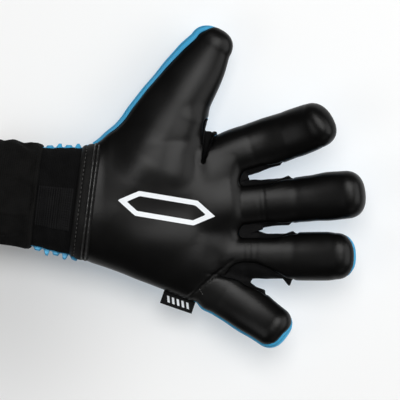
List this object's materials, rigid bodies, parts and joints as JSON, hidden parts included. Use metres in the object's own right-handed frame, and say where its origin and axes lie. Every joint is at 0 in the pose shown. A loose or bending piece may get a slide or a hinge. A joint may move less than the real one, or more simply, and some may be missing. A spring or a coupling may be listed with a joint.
{
  "type": "goalkeeper glove",
  "caption": "Left-hand padded goalkeeper glove with a foam palm, moulded back, stretch webs between jointed fingers, a bending wrist and a wrist strap that peels open.",
  "frame": {"origin": "middle of the glove's bounding box, level with its underside", "axes": "+X from cuff to fingertips, +Y towards the thumb, +Z out of the palm"},
  "size_m": [0.3066, 0.248, 0.0565],
  "materials": {
    "palm_latex": "satin smooth latex foam",
    "back_latex": "matt moulded latex",
    "stretch_mesh": "matt stretch mesh",
    "lining": "brushed lining",
    "elastic_knit": "matt ribbed knit",
    "print": "satin transfer print",
    "tape": "woven binding tape",
    "label_weave": "woven label",
    "hook_and_loop": "fine hooks and loops",
    "badge_rubber": "satin moulded rubber"
  },
  "bodies": {
    "palm": {"palm_foam": "palm_latex", "back_shell": "back_latex", "palm_lining": "lining", "back_lining": "lining", "thumb_index_web": "stretch_mesh", "index_middle_web": "stretch_mesh", "middle_ring_web": "stretch_mesh", "ring_little_web": "stretch_mesh", "palm_print": "print", "knuckle_pad": "back_latex", "wrist_front_knit": "elastic_knit", "wrist_front_back_panel": "back_latex", "wrist_inner_knit": "lining", "palm_binding": "tape", "elastic_patch_front": "elastic_knit"},
    "cuff": {"cuff_knit": "elastic_knit", "cuff_back_panel": "back_latex", "elastic_patch_rear": "elastic_knit", "strap_band": "elastic_knit", "loop_pad": "hook_and_loop", "cuff_hem": "tape"},
    "strap_tail": {"hook_pad": "hook_and_loop", "strap_tail": "elastic_knit", "strap_badge": "badge_rubber"},
    "side_label": {"side_label": "label_weave"},
    "index_base": {"index_palm_base": "palm_latex", "index_back_base": "back_latex", "index_gusset_middle_side": "stretch_mesh"},
    "index_mid": {"index_palm_mid": "palm_latex", "index_back_mid": "back_latex"},
    "index_tip": {"index_palm_tip": "palm_latex", "index_back_tip": "back_latex"},
    "middle_base": {"middle_palm_base": "palm_latex", "middle_back_base": "back_latex", "middle_gusset_index_side": "stretch_mesh", "middle_gusset_ring_side": "stretch_mesh"},
    "middle_mid": {"middle_palm_mid": "palm_latex", "middle_back_mid": "back_latex"},
    "middle_tip": {"middle_palm_tip": "palm_latex", "middle_back_tip": "back_latex"},
    "ring_base": {"ring_palm_base": "palm_latex", "ring_back_base": "back_latex", "ring_gusset_middle_side": "stretch_mesh", "ring_gusset_little_side": "stretch_mesh"},
    "ring_mid": {"ring_palm_mid": "palm_latex", "ring_back_mid": "back_latex"},
    "ring_tip": {"ring_palm_tip": "palm_latex", "ring_back_tip": "back_latex"},
    "little_base": {"little_palm_base": "palm_latex", "little_back_base": "back_latex", "little_gusset_ring_side": "stretch_mesh"},
    "little_mid": {"little_palm_mid": "palm_latex", "little_back_mid": "back_latex"},
    "little_tip": {"little_palm_tip": "palm_latex", "little_back_tip": "back_latex"},
    "thumb_base": {"thumb_palm_base": "palm_latex", "thumb_back_base": "back_latex"},
    "thumb_tip": {"thumb_palm_tip": "palm_latex", "thumb_back_tip": "back_latex"}
  },
  "joints": [
    {"name": "index_knuckle", "type": "hinge", "parent": "palm", "child": "index_base", "pos_m": [0.07406, 0.03178, 0.02923], "axis": [0.3305, -0.9438, 0], "range_deg": [0, 50], "stiffness_Nm_per_rad": 0.04},
    {"name": "index_middle_joint", "type": "hinge", "parent": "index_base", "child": "index_mid", "pos_m": [0.09355, 0.0386, 0.0343], "axis": [0.3305, -0.9438, 0], "range_deg": [0, 60], "stiffness_Nm_per_rad": 0.04},
    {"name": "index_tip_joint", "type": "hinge", "parent": "index_mid", "child": "index_tip", "pos_m": [0.1099, 0.04433, 0.0429], "axis": [0.3305, -0.9438, 0], "range_deg": [0, 36], "stiffness_Nm_per_rad": 0.04},
    {"name": "middle_knuckle", "type": "hinge", "parent": "palm", "child": "middle_base", "pos_m": [0.0759, -0.01333, 0.02882], "axis": [0.1028, -0.9947, 0], "range_deg": [0, 50], "stiffness_Nm_per_rad": 0.04},
    {"name": "middle_middle_joint", "type": "hinge", "parent": "middle_base", "child": "middle_mid", "pos_m": [0.10133, -0.0107, 0.03135], "axis": [0.1028, -0.9947, 0], "range_deg": [0, 60], "stiffness_Nm_per_rad": 0.04},
    {"name": "middle_tip_joint", "type": "hinge", "parent": "middle_mid", "child": "middle_tip", "pos_m": [0.12544, -0.00821, 0.03614], "axis": [0.1028, -0.9947, 0], "range_deg": [0, 36], "stiffness_Nm_per_rad": 0.04},
    {"name": "ring_knuckle", "type": "hinge", "parent": "palm", "child": "ring_base", "pos_m": [0.07497, -0.05415, 0.02879], "axis": [0.0175, -0.9998, 0], "range_deg": [0, 50], "stiffness_Nm_per_rad": 0.04},
    {"name": "ring_middle_joint", "type": "hinge", "parent": "ring_base", "child": "ring_mid", "pos_m": [0.09854, -0.05373, 0.03112], "axis": [0.0175, -0.9998, 0], "range_deg": [0, 60], "stiffness_Nm_per_rad": 0.04},
    {"name": "ring_tip_joint", "type": "hinge", "parent": "ring_mid", "child": "ring_tip", "pos_m": [0.12082, -0.05335, 0.03553], "axis": [0.0175, -0.9998, 0], "range_deg": [0, 36], "stiffness_Nm_per_rad": 0.04},
    {"name": "little_knuckle", "type": "hinge", "parent": "palm", "child": "little_base", "pos_m": [0.04691, -0.0833, 0.02888], "axis": [-0.5793, -0.8151, 0], "range_deg": [0, 50], "stiffness_Nm_per_rad": 0.04},
    {"name": "little_middle_joint", "type": "hinge", "parent": "little_base", "child": "little_mid", "pos_m": [0.06275, -0.09455, 0.03149], "axis": [-0.5793, -0.8151, 0], "range_deg": [0, 60], "stiffness_Nm_per_rad": 0.04},
    {"name": "little_tip_joint", "type": "hinge", "parent": "little_mid", "child": "little_tip", "pos_m": [0.07666, -0.10445, 0.03594], "axis": [-0.5793, -0.8151, 0], "range_deg": [0, 36], "stiffness_Nm_per_rad": 0.04},
    {"name": "thumb_knuckle", "type": "hinge", "parent": "palm", "child": "thumb_base", "pos_m": [0.00923, 0.0674, 0.02953], "axis": [0.8499, -0.527, 0], "range_deg": [0, 45], "stiffness_Nm_per_rad": 0.06},
    {"name": "thumb_tip_joint", "type": "hinge", "parent": "thumb_base", "child": "thumb_tip", "pos_m": [0.0253, 0.09332, 0.032], "axis": [0.8499, -0.527, 0], "range_deg": [0, 55], "stiffness_Nm_per_rad": 0.06},
    {"name": "wrist_bend", "type": "hinge", "parent": "palm", "child": "cuff", "pos_m": [-0.08063, -0.01042, 0.02829], "axis": [0.1219, 0.9925, 0], "range_deg": [-30, 30], "stiffness_Nm_per_rad": 0.3},
    {"name": "strap_peel", "type": "hinge", "parent": "cuff", "child": "strap_tail", "pos_m": [-0.12496, -0.04325, 0.01701], "axis": [-0.9925, 0.1219, 0], "range_deg": [0, 100], "stiffness_Nm_per_rad": 0.05},
    {"name": "label_fold", "type": "hinge", "parent": "palm", "child": "side_label", "pos_m": [0.01122, -0.08435, 0.0255], "axis": [0.9455, -0.3256, 0], "range_deg": [-35, 35], "stiffness_Nm_per_rad": 0.001}
  ],
  "couplings": [
    {"joint": "index_tip_joint", "follows": "index_middle_joint", "ratio": 0.6},
    {"joint": "middle_tip_joint", "follows": "middle_middle_joint", "ratio": 0.6},
    {"joint": "ring_tip_joint", "follows": "ring_middle_joint", "ratio": 0.6},
    {"joint": "little_tip_joint", "follows": "little_middle_joint", "ratio": 0.6}
  ]
}
